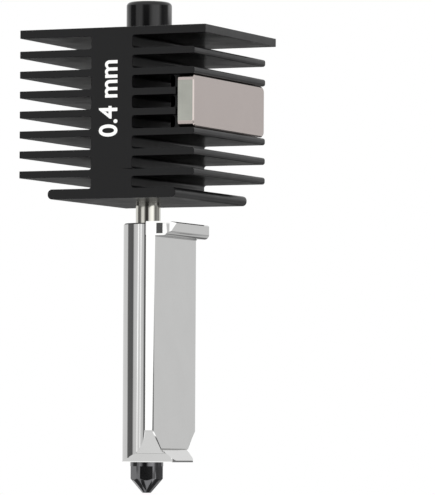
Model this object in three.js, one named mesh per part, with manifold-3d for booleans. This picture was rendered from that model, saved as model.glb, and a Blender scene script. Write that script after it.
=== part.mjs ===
import * as THREE from "three";
import { mergeVertices } from "three/addons/utils/BufferGeometryUtils.js";
import Module from "manifold-3d";

// A quick-change hotend for a desktop 3D printer, in millimetres, +Z up, +X towards the heater.
// Every piece is drawn round the filament axis (x = 0, y = 0) with z = 0 at the nozzle's tip.
// The last lines move the whole set so that its origin is the middle of the heater seat.

// Filament path
const BORE_DIAMETER = 2;
const SLIP_FIT = 0.05; // radial room between a round piece and its hole
const SEAL_GAP = 0.1; // between the tube's end and the nozzle's
const OVERRUN = 1; // how far a cutting body passes the face that it leaves through

// Nozzle, from the tip up
const ORIFICE_DIAMETER = 0.4;
const ORIFICE_LAND = 0.4;
const MELT_CONE_HEIGHT = 0.9;
const TIP_DIAMETER = 1;
const TIP_CONE_HEIGHT = 1.7;
const DRIVE_HEIGHT = 2;
const DRIVE_ACROSS_FLATS = 3.6;
const DRIVE_DIAMETER = 3.9; // the hexagon's corners are turned off to this
const DRIVE_TURN_DEGREES = -6.8; // where the hexagon stops when the thread is tight
const STEM_DIAMETER = 4.9;
const STEM_LENGTH = 6;
const STEM_CHAMFER = 0.4;
const NECK_DIAMETER = 4.1; // the thread's run-out groove under the stem
const NECK_HEIGHT = 0.5;

// Heater block
const BLOCK_HEIGHT = 28.75;
const BARREL_DIAMETER = 5.9;
const SEAT_X = 3.66; // the flat that the heater is pressed on
const FLANGE_EDGE_X = 2.45; // where the flange's edge face meets the scallop
const FLANGE_WIDTH = 12.2;
const SCALLOP_TOUCH_DEGREES = 84.7; // where each scallop leaves the barrel, from straight ahead
const FOOT_WIDTH = 6; // at the bottom
const FOOT_RISE = 3.7; // height at which the foot's taper reaches the flange's edges
const FOOT_SLOPE_DEGREES = 44.3;
const FOOT_FILLET = 1.6;
const FOOT_BACK_X = -1.8; // how far back the foot's straight sides reach
const RUNOUT_RADIUS = 6.8; // the cutter's arc where each scallop ends above the foot
const RUNOUT_FLOOR = 0.04; // what the arc leaves of the foot at its lowest point
const TOP_LIP_HEIGHT = 1.7;
const TOP_LIP_X = 5.4;
const BOTTOM_LIP_HEIGHT = 1.5;
const BOTTOM_LIP_X = 5;
const BOTTOM_LIP_WIDTH = 7;
const BOTTOM_LIP_TOE = 0.2;
const LIP_ROUND = 0.6; // on the top lip's lower edge
const LIP_FACET_TOP = 2.8; // the facet on the top lip's front corner, along its upper edge
const LIP_FACET_FOOT = 0.3; // and along its lower edge
const LIP_FACET_DEPTH = 0.2;
const LIP_POCKET_WIDTH = 1.22;
const LIP_POCKET_HEIGHT = 1.25;
const LIP_POCKET_DEPTH = 0.9;
const SOCKET_DIAMETER = 5;
const SOCKET_ROOM = 0.3; // between the stem's end and the socket's bottom
const SOCKET_CHAMFER = 0.12;
const CLIP_GROOVE_DEPTH = 0.25;
const CLIP_GROOVE_RADIUS = 6;
const CLIP_GROOVE_Z = 2.75; // above the block's bottom

// Throat tube
const TUBE_DIAMETER = 3;
const TUBE_SHOWN = 2.55; // between the block and the heatsink
const TUBE_CHAMFER = 0.15;

// Heatsink, with its fins counted from the top
const SINK_DEPTH = 21;
const WEB_WIDTH = 5.4;
const FIN_PITCH = 2.4;
const FIN_COUNT = 9;
const FIN_THICKNESS = 0.85;
const FIN_END_ROUND = 0.3; // on the right ends
const TOP_FIN_THICKNESS = 1;
const TOP_FIN_WIDTH = 24.4;
const TOP_FIN_OVERHANG = 1.4; // the other fins stop this far short on the right
const BASE_THICKNESS = 1.2; // the lowest fin
const BASE_WIDTH = 16.8;
const BASE_ROUND = 0.55; // on both ends
const BASE_GAP = 1.4; // between the lowest fin and the next
const ROOT_FILLET = 0.3;
const FIN_ABOVE_MAGNET = 3;
const FIN_BELOW_MAGNET = 6;
const SEAT_PLATE_THICKNESS = 0.8;
const SEAT_PLATE_SETBACK = 1.5; // the plate stops this far short of the fins' front and back
const PLATE_FILLET = 0.5;

// Magnet
const MAGNET_THICKNESS = 2.2;
const MAGNET_FACE_SETBACK = 0.1; // from the fins' right ends
const MAGNET_END_SETBACK = 0.05; // from the heatsink's front and back
const MAGNET_HEIGHT = 6.2;
const MAGNET_CORNER = 0.9;
const MAGNET_EDGE = 0.3;
const BOND_THICKNESS = 0.1;
const BOND_MARGIN = 1.6; // the bond stops this far inside the magnet's edges

// Inlet collar
const COLLAR_DIAMETER = 5.5;
const COLLAR_HEIGHT = 3.9;
const COLLAR_ROUND = 0.5;
const SPIGOT_DIAMETER = 4.2;
const SPIGOT_LENGTH = 2.4;
const INLET_DIAMETER = 3.6;
const INLET_DEPTH = 1.2;

// Smoothness, in steps
const ROUND_STEPS = 48;
const ARC_STEPS = 12;
const RUNOUT_STEPS = 48;
const EDGE_STEPS = 4;
const SAME_POINT = 1e-5; // corners closer than this are one vertex

// Levels up the filament axis
const BLOCK_Z = TIP_CONE_HEIGHT + DRIVE_HEIGHT;
const BLOCK_TOP_Z = BLOCK_Z + BLOCK_HEIGHT;
const STEM_TOP_Z = BLOCK_Z + STEM_LENGTH;
const SEAT_FOOT_Z = BLOCK_Z + BOTTOM_LIP_HEIGHT;
const SEAT_TOP_Z = BLOCK_TOP_Z - TOP_LIP_HEIGHT;
const SINK_Z = BLOCK_TOP_Z + TUBE_SHOWN;
const FINS_Z = SINK_Z + BASE_THICKNESS + BASE_GAP;
const SINK_TOP_Z = FINS_Z + FIN_PITCH * (FIN_COUNT - 2) + TOP_FIN_THICKNESS;
const SPIGOT_Z = SINK_TOP_Z - SPIGOT_LENGTH;

// The fins' right ends, and the magnet between them
const FIN_RIGHT_X = TOP_FIN_WIDTH / 2 - TOP_FIN_OVERHANG;
const MAGNET_LENGTH = SINK_DEPTH - 2 * MAGNET_END_SETBACK;

const wasm = await Module();
wasm.setup();

// Turns a closed three.js geometry into a solid that can be joined and cut.
function solid(geometry) {
  const bare = geometry.index ? geometry.toNonIndexed() : geometry.clone();
  bare.deleteAttribute("normal");
  bare.deleteAttribute("uv");
  const merged = mergeVertices(bare, SAME_POINT);
  const vertProperties = merged.attributes.position.array;
  const triVerts = new Uint32Array(merged.index.array);
  return new wasm.Manifold(new wasm.Mesh({ numProp: 3, vertProperties, triVerts }));
}

// Turns a finished solid back into a three.js geometry.
function geometryOf(body) {
  const { vertProperties, triVerts } = body.getMesh();
  return new THREE.BufferGeometry()
    .setAttribute("position", new THREE.BufferAttribute(new Float32Array(vertProperties), 3))
    .setIndex(new THREE.BufferAttribute(new Uint32Array(triVerts), 1));
}

function extrude(shape, depth, options = {}) {
  const settings = { depth, bevelEnabled: false, curveSegments: ARC_STEPS, ...options };
  return new THREE.ExtrudeGeometry(shape, settings);
}

// A plan outline (x, y) raised from z = low to z = high.
function raised(shape, low, high) {
  return solid(extrude(shape, high - low).translate(0, 0, low));
}

// A side outline (x, z) carried along Y, centred on y = 0.
function alongY(shape, width, curveSegments = ARC_STEPS) {
  const made = extrude(shape, width, { curveSegments });
  return solid(made.rotateX(Math.PI / 2).translate(0, width / 2, 0));
}

// Takes an outline drawn in (x, y) to (y, z), and its depth to x.
const frontwards = new THREE.Matrix4().makeBasis(
  new THREE.Vector3(0, 1, 0),
  new THREE.Vector3(0, 0, 1),
  new THREE.Vector3(1, 0, 0),
);

// A front outline (y, z) carried along X from x = from to x = to.
function alongX(shape, from, to) {
  return solid(extrude(shape, to - from).applyMatrix4(frontwards).translate(from, 0, 0));
}

function box(x0, x1, y0, y1, z0, z1) {
  const made = new THREE.BoxGeometry(x1 - x0, y1 - y0, z1 - z0);
  return solid(made.translate((x0 + x1) / 2, (y0 + y1) / 2, (z0 + z1) / 2));
}

// A round body from its profile of [radius, z] points, turned about the filament axis.
function turned(profile, steps = ROUND_STEPS) {
  const points = profile.map(([radius, z]) => new THREE.Vector2(radius, z));
  return solid(new THREE.LatheGeometry(points, steps).rotateX(Math.PI / 2));
}

function rod(diameter, low, high) {
  const radius = diameter / 2;
  return turned([[0, low], [radius, low], [radius, high], [0, high]]);
}

// A rectangle whose corners have their own radii, in the order
// low-left, low-right, high-right, high-left.
function roundedRectangle(x0, x1, y0, y1, radii) {
  const [a, b, c, d] = radii;
  const shape = new THREE.Shape();
  shape.moveTo(x0 + a, y0);
  shape.lineTo(x1 - b, y0);
  if (b) shape.absarc(x1 - b, y0 + b, b, -Math.PI / 2, 0);
  shape.lineTo(x1, y1 - c);
  if (c) shape.absarc(x1 - c, y1 - c, c, 0, Math.PI / 2);
  shape.lineTo(x0 + d, y1);
  if (d) shape.absarc(x0 + d, y1 - d, d, Math.PI / 2, Math.PI);
  shape.lineTo(x0, y0 + a);
  if (a) shape.absarc(x0 + a, y0 + a, a, Math.PI, 1.5 * Math.PI);
  return shape;
}

// Nozzle: threaded stem, run-out neck, hexagon with turned corners, and cone, bored for the melt.
function nozzle() {
  const orifice = ORIFICE_DIAMETER / 2;
  const bore = BORE_DIAMETER / 2;
  const stem = STEM_DIAMETER / 2;
  const drive = turned([
    [0, 0],
    [TIP_DIAMETER / 2, 0],
    [DRIVE_DIAMETER / 2, TIP_CONE_HEIGHT],
    [DRIVE_DIAMETER / 2, BLOCK_Z],
    [0, BLOCK_Z],
  ]).intersect(hexagon(BLOCK_Z));
  const screw = turned([
    [0, BLOCK_Z],
    [NECK_DIAMETER / 2, BLOCK_Z],
    [NECK_DIAMETER / 2, BLOCK_Z + NECK_HEIGHT],
    [stem, BLOCK_Z + NECK_HEIGHT],
    [stem, STEM_TOP_Z - STEM_CHAMFER],
    [stem - STEM_CHAMFER, STEM_TOP_Z],
    [0, STEM_TOP_Z],
  ]);
  const melt = turned([
    [0, -OVERRUN],
    [orifice, -OVERRUN],
    [orifice, ORIFICE_LAND],
    [bore, ORIFICE_LAND + MELT_CONE_HEIGHT],
    [bore, STEM_TOP_Z + OVERRUN],
    [0, STEM_TOP_Z + OVERRUN],
  ]);
  return drive.add(screw).subtract(melt);
}

function hexagon(height) {
  const corner = DRIVE_ACROSS_FLATS / Math.sqrt(3);
  const shape = new THREE.Shape();
  for (let i = 0; i < 6; i++) {
    const angle = THREE.MathUtils.degToRad(DRIVE_TURN_DEGREES + 30 + 60 * i);
    const point = [corner * Math.cos(angle), corner * Math.sin(angle)];
    if (i) shape.lineTo(...point);
    else shape.moveTo(...point);
  }
  return raised(shape, 0, height);
}

// The block's plan: a round barrel and a flat flange, joined by a scallop on each side.
// Each scallop touches the barrel and passes through the flange's back edge, which sets its radius.
function blockPlan() {
  const barrel = BARREL_DIAMETER / 2;
  const half = FLANGE_WIDTH / 2;
  const touch = THREE.MathUtils.degToRad(SCALLOP_TOUCH_DEGREES);
  const edge = Math.hypot(FLANGE_EDGE_X, half);
  const along = FLANGE_EDGE_X * Math.cos(touch) + half * Math.sin(touch);
  const radius = (edge ** 2 + barrel ** 2 - 2 * barrel * along) / (2 * (along - barrel));
  const centre = [(barrel + radius) * Math.cos(touch), (barrel + radius) * Math.sin(touch)];
  const start = Math.atan2(half - centre[1], FLANGE_EDGE_X - centre[0]);
  const end = touch - Math.PI;
  const shape = new THREE.Shape();
  shape.moveTo(SEAT_X, -half);
  shape.lineTo(SEAT_X, half);
  shape.lineTo(FLANGE_EDGE_X, half);
  shape.absarc(centre[0], centre[1], radius, start, end, true);
  shape.absarc(0, 0, barrel, touch, 2 * Math.PI - touch, false);
  shape.absarc(centre[0], -centre[1], radius, -end, -start, true);
  return shape;
}

// The block's front outline: straight sides, then a taper on each side that a fillet
// turns upright at the foot.
function blockFront() {
  const half = FLANGE_WIDTH / 2;
  const toe = FOOT_WIDTH / 2;
  const slope = THREE.MathUtils.degToRad(FOOT_SLOPE_DEGREES);
  const kneeZ = BLOCK_Z + FOOT_RISE - (half - toe) * Math.tan(slope);
  const arcZ = kneeZ - FOOT_FILLET * Math.tan((Math.PI / 2 - slope) / 2);
  const shape = new THREE.Shape();
  shape.moveTo(-toe, BLOCK_Z);
  shape.lineTo(toe, BLOCK_Z);
  shape.absarc(toe + FOOT_FILLET, arcZ, FOOT_FILLET, Math.PI, Math.PI / 2 + slope, true);
  shape.lineTo(half, BLOCK_Z + FOOT_RISE);
  shape.lineTo(half, BLOCK_TOP_Z);
  shape.lineTo(-half, BLOCK_TOP_Z);
  shape.lineTo(-half, BLOCK_Z + FOOT_RISE);
  shape.absarc(-toe - FOOT_FILLET, arcZ, FOOT_FILLET, Math.PI / 2 - slope, 0, true);
  return shape;
}

// The foot: the block's full section, left below the arc in which both scallops run out. The
// arc starts where the taper meets the flange's edges, and is lowest behind the barrel.
function foot() {
  const half = FLANGE_WIDTH / 2;
  const lift = RUNOUT_FLOOR + RUNOUT_RADIUS; // the arc's centre above the block's bottom
  const reach = Math.sqrt(RUNOUT_RADIUS ** 2 - (lift - FOOT_RISE) ** 2);
  const arc = new THREE.Shape();
  arc.absarc(FLANGE_EDGE_X - reach, BLOCK_Z + lift, RUNOUT_RADIUS, 0, 2 * Math.PI);
  return box(FOOT_BACK_X, SEAT_X, -half, half, BLOCK_Z, BLOCK_Z + FOOT_RISE)
    .subtract(alongY(arc, FLANGE_WIDTH + OVERRUN, RUNOUT_STEPS));
}

// The top lip overhangs the heater seat. Its front end is pocketed, and its front corner faceted.
function topLip() {
  const half = FLANGE_WIDTH / 2;
  const side = roundedRectangle(0, TOP_LIP_X, SEAT_TOP_Z, BLOCK_TOP_Z, [0, LIP_ROUND, 0, 0]);
  const root = box(FLANGE_EDGE_X, TOP_LIP_X, -half, half, SEAT_TOP_Z, BLOCK_TOP_Z);
  const pocketX = (SEAT_X + TOP_LIP_X) / 2;
  const pocketZ = (SEAT_TOP_Z + BLOCK_TOP_Z) / 2;
  const pocket = box(
    pocketX - LIP_POCKET_WIDTH / 2,
    pocketX + LIP_POCKET_WIDTH / 2,
    -half - OVERRUN,
    -half + LIP_POCKET_DEPTH,
    pocketZ - LIP_POCKET_HEIGHT / 2,
    pocketZ + LIP_POCKET_HEIGHT / 2,
  );
  const facet = beyondPlane(
    new THREE.Vector3(TOP_LIP_X, -half + LIP_FACET_FOOT, SEAT_TOP_Z),
    new THREE.Vector3(TOP_LIP_X, -half + LIP_FACET_TOP, BLOCK_TOP_Z),
    new THREE.Vector3(TOP_LIP_X - LIP_FACET_DEPTH, -half, BLOCK_TOP_Z),
    FLANGE_WIDTH,
  );
  return alongY(side, FLANGE_WIDTH).intersect(root).subtract(pocket).subtract(facet);
}

// A cube that stands on the plane through three points, on the side away from the filament axis.
function beyondPlane(a, b, c, size) {
  const plane = new THREE.Plane().setFromCoplanarPoints(a, b, c);
  const out = plane.normal.x < 0 ? plane.normal.negate() : plane.normal;
  const turn = new THREE.Quaternion().setFromUnitVectors(new THREE.Vector3(0, 0, 1), out);
  const made = new THREE.BoxGeometry(size, size, size).translate(0, 0, size / 2);
  return solid(made.applyQuaternion(turn).translate(a.x, a.y, a.z));
}

// The bottom lip is a wedge below the heater, with round corners in plan.
function bottomLip() {
  const half = BOTTOM_LIP_WIDTH / 2;
  const corner = BOTTOM_LIP_X - SEAT_X;
  const corners = [0, corner, corner, 0];
  const plan = roundedRectangle(FLANGE_EDGE_X, BOTTOM_LIP_X, -half, half, corners);
  const side = new THREE.Shape([
    new THREE.Vector2(FLANGE_EDGE_X, BLOCK_Z),
    new THREE.Vector2(BOTTOM_LIP_X - BOTTOM_LIP_TOE, BLOCK_Z),
    new THREE.Vector2(BOTTOM_LIP_X, BLOCK_Z + BOTTOM_LIP_TOE),
    new THREE.Vector2(SEAT_X, SEAT_FOOT_Z),
    new THREE.Vector2(FLANGE_EDGE_X, SEAT_FOOT_Z),
  ]);
  return raised(plan, BLOCK_Z, SEAT_FOOT_Z).intersect(alongY(side, BOTTOM_LIP_WIDTH));
}

// Heater block: its plan and front outlines crossed, with both lips, bored and socketed.
function heaterBlock() {
  const hole = TUBE_DIAMETER / 2 + SLIP_FIT;
  const socket = SOCKET_DIAMETER / 2;
  const socketTop = STEM_TOP_Z + SOCKET_ROOM;
  const bores = turned([
    [0, BLOCK_Z - OVERRUN],
    [socket + SOCKET_CHAMFER + OVERRUN, BLOCK_Z - OVERRUN],
    [socket, BLOCK_Z + SOCKET_CHAMFER],
    [socket, socketTop],
    [hole, socketTop],
    [hole, BLOCK_TOP_Z + OVERRUN],
    [0, BLOCK_TOP_Z + OVERRUN],
  ]);
  const side = CLIP_GROOVE_DEPTH - BARREL_DIAMETER / 2 - CLIP_GROOVE_RADIUS;
  const groove = new THREE.Shape();
  groove.absarc(side, BLOCK_Z + CLIP_GROOVE_Z, CLIP_GROOVE_RADIUS, 0, 2 * Math.PI);
  const front = alongX(blockFront(), -BARREL_DIAMETER, TOP_LIP_X + OVERRUN);
  return raised(blockPlan(), BLOCK_Z, BLOCK_TOP_Z)
    .add(foot())
    .add(topLip())
    .add(bottomLip())
    .intersect(front)
    .subtract(bores)
    .subtract(alongY(groove, BARREL_DIAMETER));
}

// Throat tube: from just above the nozzle, through block and gap, up to the collar's spigot.
function throatTube() {
  const outer = TUBE_DIAMETER / 2;
  const bore = BORE_DIAMETER / 2;
  const low = STEM_TOP_Z + SEAL_GAP;
  return turned([
    [bore, low],
    [outer - TUBE_CHAMFER, low],
    [outer, low + TUBE_CHAMFER],
    [outer, SPIGOT_Z - TUBE_CHAMFER],
    [outer - TUBE_CHAMFER, SPIGOT_Z],
    [bore, SPIGOT_Z],
    [bore, low],
  ]);
}

// Top and bottom of a fin, counted from 1 at the top.
function finLevels(number) {
  if (number === FIN_COUNT) return { top: SINK_Z + BASE_THICKNESS, low: SINK_Z };
  const low = FINS_Z + FIN_PITCH * (FIN_COUNT - 1 - number);
  return { top: number === 1 ? SINK_TOP_Z : low + FIN_THICKNESS, low };
}

// One gap between a fin and the next one down, as a rounded slot that is open at its far end.
function gapBelow(number, rootX, openX) {
  const high = finLevels(number).low;
  const low = finLevels(number + 1).top;
  const [x0, x1] = rootX < openX ? [rootX, openX] : [openX, rootX];
  const radii = rootX < openX
    ? [ROOT_FILLET, 0, 0, ROOT_FILLET]
    : [0, ROOT_FILLET, ROOT_FILLET, 0];
  return roundedRectangle(x0, x1, low, high, radii);
}

// The space for the magnet, between two fins and out from its seat plate.
function magnetBay() {
  const high = finLevels(FIN_ABOVE_MAGNET).low;
  const low = finLevels(FIN_BELOW_MAGNET).top;
  const faceX = FIN_RIGHT_X - MAGNET_FACE_SETBACK;
  return { high, low, middle: (high + low) / 2, seatX: faceX - MAGNET_THICKNESS - BOND_THICKNESS };
}

// Heatsink: a solid stack as seen from the front, with its gaps cut and its fins' ends trimmed.
function heatsink() {
  const web = WEB_WIDTH / 2;
  const right = TOP_FIN_WIDTH / 2;
  const half = SINK_DEPTH / 2;
  const bay = magnetBay();
  const plateX = bay.seatX - SEAT_PLATE_THICKNESS;
  let body = box(-right, right, -half, half, SINK_Z, SINK_TOP_Z);
  for (let number = 1; number < FIN_COUNT; number++) {
    const inBay = number >= FIN_ABOVE_MAGNET && number < FIN_BELOW_MAGNET;
    const leftGap = gapBelow(number, -web, -right - OVERRUN);
    const rightGap = inBay ? cell(number, web, plateX) : gapBelow(number, web, right + OVERRUN);
    body = body
      .subtract(alongY(leftGap, SINK_DEPTH + OVERRUN))
      .subtract(alongY(rightGap, SINK_DEPTH + OVERRUN));
    if (inBay) body = body.subtract(plateEnds(number, plateX - PLATE_FILLET, bay.seatX));
  }
  return body
    .intersect(finEnds())
    .subtract(box(bay.seatX, right + OVERRUN, -half - OVERRUN, half + OVERRUN, bay.low, bay.high))
    .subtract(rod(TUBE_DIAMETER + 2 * SLIP_FIT, SINK_Z - OVERRUN, SINK_TOP_Z + OVERRUN))
    .subtract(rod(SPIGOT_DIAMETER + 2 * SLIP_FIT, SPIGOT_Z, SINK_TOP_Z + OVERRUN));
}

// A gap that the seat plate closes, with all four of its corners filleted.
function cell(number, x0, x1) {
  const high = finLevels(number).low;
  const low = finLevels(number + 1).top;
  return roundedRectangle(x0, x1, low, high, [ROOT_FILLET, PLATE_FILLET, PLATE_FILLET, ROOT_FILLET]);
}

// Where the seat plate stops short of the fins' front and back, the gap stays open to the magnet.
function plateEnds(number, x0, x1) {
  const half = SINK_DEPTH / 2;
  const high = finLevels(number).low;
  const low = finLevels(number + 1).top;
  const end = half - SEAT_PLATE_SETBACK;
  return box(x0, x1, -half - OVERRUN, -end, low, high)
    .add(box(x0, x1, end, half + OVERRUN, low, high));
}

// The fins' outlines as seen from the front, each with its own reach and rounded ends, and the web
// and the seat plate between them.
function finEnds() {
  const web = WEB_WIDTH / 2 + ROOT_FILLET;
  const right = TOP_FIN_WIDTH / 2;
  const base = BASE_WIDTH / 2;
  const half = SINK_DEPTH / 2 + OVERRUN;
  const bay = magnetBay();
  const inFin = FIN_THICKNESS / 2;
  let ends = box(-web, web, -half, half, SINK_Z, SINK_TOP_Z)
    .add(box(0, bay.seatX, -half, half, bay.low - inFin, bay.high + inFin));
  for (let number = 1; number <= FIN_COUNT; number++) {
    const { low, top } = finLevels(number);
    const round = FIN_END_ROUND;
    let outline = roundedRectangle(-right, FIN_RIGHT_X, low, top, [0, round, round, 0]);
    if (number === 1) outline = roundedRectangle(-right, right, low, top, [0, 0, 0, 0]);
    if (number === FIN_COUNT) {
      const corners = [BASE_ROUND, BASE_ROUND, BASE_ROUND, BASE_ROUND];
      outline = roundedRectangle(-base, base, low, top, corners);
    }
    ends = ends.add(alongY(outline, 2 * half, EDGE_STEPS));
  }
  return ends;
}

// Magnet: a bar with round corners and soft edges, bonded in the heatsink's side.
function magnet() {
  const bay = magnetBay();
  const inset = MAGNET_EDGE;
  const length = MAGNET_LENGTH / 2 - inset;
  const height = MAGNET_HEIGHT / 2 - inset;
  const corner = MAGNET_CORNER - inset;
  const face = roundedRectangle(-length, length, -height, height, [corner, corner, corner, corner]);
  const bar = extrude(face, MAGNET_THICKNESS - 2 * inset, {
    bevelEnabled: true,
    bevelSize: inset,
    bevelThickness: inset,
    bevelSegments: EDGE_STEPS,
    curveSegments: EDGE_STEPS,
  });
  bar.applyMatrix4(frontwards).translate(bay.seatX + BOND_THICKNESS + inset, 0, bay.middle);
  return solid(bar);
}

// Bond: the thin film that holds the magnet to its seat plate.
function magnetBond() {
  const bay = magnetBay();
  const length = MAGNET_LENGTH / 2 - BOND_MARGIN;
  const height = MAGNET_HEIGHT / 2 - BOND_MARGIN;
  return box(
    bay.seatX,
    bay.seatX + BOND_THICKNESS,
    -length,
    length,
    bay.middle - height,
    bay.middle + height,
  );
}

// Inlet collar: a turned cap with a spigot below, countersunk for the filament.
function inletCollar() {
  const top = SINK_TOP_Z + COLLAR_HEIGHT;
  const outer = COLLAR_DIAMETER / 2;
  const bore = BORE_DIAMETER / 2;
  const profile = [
    [bore, SPIGOT_Z],
    [SPIGOT_DIAMETER / 2, SPIGOT_Z],
    [SPIGOT_DIAMETER / 2, SINK_TOP_Z],
    [outer, SINK_TOP_Z],
  ];
  for (let i = 0; i <= EDGE_STEPS; i++) {
    const angle = (i / EDGE_STEPS) * (Math.PI / 2);
    const radius = outer - COLLAR_ROUND * (1 - Math.cos(angle));
    profile.push([radius, top - COLLAR_ROUND * (1 - Math.sin(angle))]);
  }
  profile.push([INLET_DIAMETER / 2, top], [bore, top - INLET_DEPTH], [bore, SPIGOT_Z]);
  return turned(profile);
}

function material(color, roughness, metalness) {
  return new THREE.MeshStandardMaterial({ color, roughness, metalness });
}

function piece(name, body, look) {
  const mesh = new THREE.Mesh(geometryOf(body), look);
  mesh.name = name;
  return mesh;
}

const blackAnodised = material(0x2b2b2c, 0.45, 0.6);
const blackSatin = material(0x2a2a2b, 0.35, 0.5);
const stainless = material(0xc9c9c2, 0.18, 1);
const polishedNickel = material(0xc4c4c2, 0.16, 1);
const platedMagnet = material(0xaaa29e, 0.25, 1);
const hardenedSteel = material(0x2f2f30, 0.4, 0.8);
const bond = material(0x1c1c1c, 0.6, 0);

const hotend = new THREE.Group();
hotend.add(
  piece("heatsink", heatsink(), blackAnodised),
  piece("inlet_collar", inletCollar(), blackSatin),
  piece("throat_tube", throatTube(), stainless),
  piece("heater_block", heaterBlock(), polishedNickel),
  piece("nozzle", nozzle(), hardenedSteel),
  piece("magnet", magnet(), platedMagnet),
  piece("magnet_bond", magnetBond(), bond),
);
hotend.position.set(-SEAT_X, 0, -(SEAT_FOOT_Z + SEAT_TOP_Z) / 2);

const part = new THREE.Group();
part.add(hotend);
export default part;
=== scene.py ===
"""Looks of a bare quick-change hotend for a desktop 3D printer.

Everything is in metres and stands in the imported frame: +Z runs up the filament axis, +X points out
of the heater seat, and the origin is the middle of that seat.
"""

import logging
import math
from collections.abc import Callable, Iterator, Sequence
from contextlib import contextmanager
from dataclasses import dataclass
from enum import Enum

import bmesh
import bpy
from mathutils import Matrix, Vector


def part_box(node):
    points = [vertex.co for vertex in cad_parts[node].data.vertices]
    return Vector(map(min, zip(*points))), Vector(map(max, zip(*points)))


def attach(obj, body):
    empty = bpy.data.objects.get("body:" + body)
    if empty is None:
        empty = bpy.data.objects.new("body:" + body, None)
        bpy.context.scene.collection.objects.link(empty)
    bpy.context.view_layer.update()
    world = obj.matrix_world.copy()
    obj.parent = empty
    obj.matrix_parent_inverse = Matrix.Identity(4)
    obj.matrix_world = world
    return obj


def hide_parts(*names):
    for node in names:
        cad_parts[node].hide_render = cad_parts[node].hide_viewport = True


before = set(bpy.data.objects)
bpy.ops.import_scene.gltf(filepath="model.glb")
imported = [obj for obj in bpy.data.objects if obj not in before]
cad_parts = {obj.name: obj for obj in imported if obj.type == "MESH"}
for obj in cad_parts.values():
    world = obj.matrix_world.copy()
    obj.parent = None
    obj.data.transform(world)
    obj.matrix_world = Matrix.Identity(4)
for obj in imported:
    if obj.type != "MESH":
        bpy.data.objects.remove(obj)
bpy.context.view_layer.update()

LOG = logging.getLogger("hotend")
MM = 0.001

# How near two points, or a point and a plane, lie when they count as one.
SAME_POINT = 0.001 * MM
ON_PLANE = 0.0001 * MM

# How far a cutter passes what it cuts.
OVERRUN = 1 * MM

# Sides of a round body, and of a small bore.
ROUND_SIDES = 128
BORE_SIDES = 64

# Faces that meet at more than the first count as sharp, and at less than the second as one.
SHARP_ANGLE = math.radians(32)
FLAT_ANGLE = math.radians(0.4)

# Degrees.
QUARTER_TURN, HALF_TURN, FULL_TURN = 90, 180, 360

# Octaves of the noise behind patches and fine marks, and how strongly the finer ones show.
PATCH_NOISE = {"Detail": 3, "Roughness": 0.55}
MARK_NOISE = {"Detail": 2, "Roughness": 0.6}

# What such a noise reaches in practice, of 0 to 1.
NOISE_REACH = {"From Min": 0.25, "From Max": 0.75}

# Sockets of the mix node, when it mixes colours.
MIX_SHARE, MIX_FIRST, MIX_SECOND, MIX_RESULT = 0, 6, 7, 2

Point = tuple[float, float]
Colour = tuple[float, float, float, float]


class Body(Enum):
    """The bodies that move, by their names in the frame."""

    HOTEND = "hotend"
    NOZZLE = "nozzle"


class Lay(Enum):
    """Which way a finish's marks run, as how fine they are along X, Y and Z."""

    BLASTED = (1, 1, 1)
    LENGTHWISE = (1, 1, 0.03)
    TURNED = (0.04, 0.04, 1)


def linear(colour: str) -> Colour:
    """Turns an sRGB colour into the linear values that a shader takes.

    Args:
        colour: Six hex digits.

    Returns:
        Red, green, blue and a full alpha.
    """
    parts = [int(colour[i:i + 2], 16) / 255 for i in (0, 2, 4)]
    shares = [p / 12.92 if p <= 0.04045 else ((p + 0.055) / 1.055) ** 2.4 for p in parts]
    return (*shares, 1)


def add_node(tree: bpy.types.NodeTree, kind: str, settings: dict | None = None,
             links: dict | None = None) -> bpy.types.Node:
    """Adds one node with its settings and links.

    Args:
        tree: The node tree that gets the node.
        kind: The node's type.
        settings: Values by attribute name, or by an input's name or number.
        links: The output that feeds each input, by the input's name or number.

    Returns:
        The new node.
    """
    node = tree.nodes.new(kind)
    for name, value in (settings or {}).items():
        if isinstance(name, str) and hasattr(node, name):
            setattr(node, name, value)
        else:
            node.inputs[name].default_value = value
    for name, output in (links or {}).items():
        tree.links.new(output, node.inputs[name])
    return node


def mixed(tree: bpy.types.NodeTree, share: bpy.types.NodeSocket,
          first: bpy.types.NodeSocket | Colour,
          second: bpy.types.NodeSocket | Colour) -> bpy.types.NodeSocket:
    """Mixes two colours, each of them a fixed one or an output.

    Args:
        tree: The node tree that gets the node.
        share: How much of the second colour there is.
        first: The first colour.
        second: The second colour.

    Returns:
        The mixed colour.
    """
    colours = {MIX_FIRST: first, MIX_SECOND: second}
    fixed = {socket: colour for socket, colour in colours.items() if isinstance(colour, tuple)}
    fed = {socket: colour for socket, colour in colours.items() if socket not in fixed}
    node = add_node(tree, "ShaderNodeMix", {"data_type": "RGBA", **fixed},
                    {MIX_SHARE: share, **fed})
    return node.outputs[MIX_RESULT]


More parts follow.
